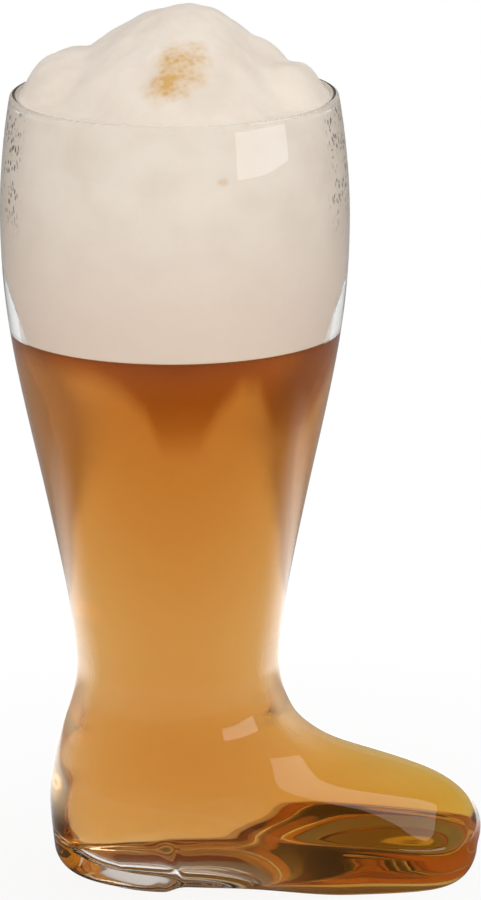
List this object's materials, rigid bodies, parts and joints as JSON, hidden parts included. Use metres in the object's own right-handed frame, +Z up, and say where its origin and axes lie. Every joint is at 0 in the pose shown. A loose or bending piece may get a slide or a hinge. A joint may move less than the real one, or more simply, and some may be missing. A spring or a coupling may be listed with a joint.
{
  "type": "beer boot glass",
  "caption": "Boot-shaped drinking glass, blown in one piece, filled with amber beer under a tall mounded head of foam.",
  "frame": {"origin": "middle of the glass's footprint box, on the surface it stands on", "axes": "+Z up along the leg, +X towards the toe, +Y across the foot"},
  "size_m": [0.1474, 0.107, 0.2745],
  "materials": {
    "clear_glass": "polished",
    "amber_beer": "gloss",
    "beer_foam": "matte"
  },
  "bodies": {
    "root": {"boot_glass": "clear_glass", "beer": "amber_beer", "foam_head": "beer_foam"}
  },
  "joints": []
}
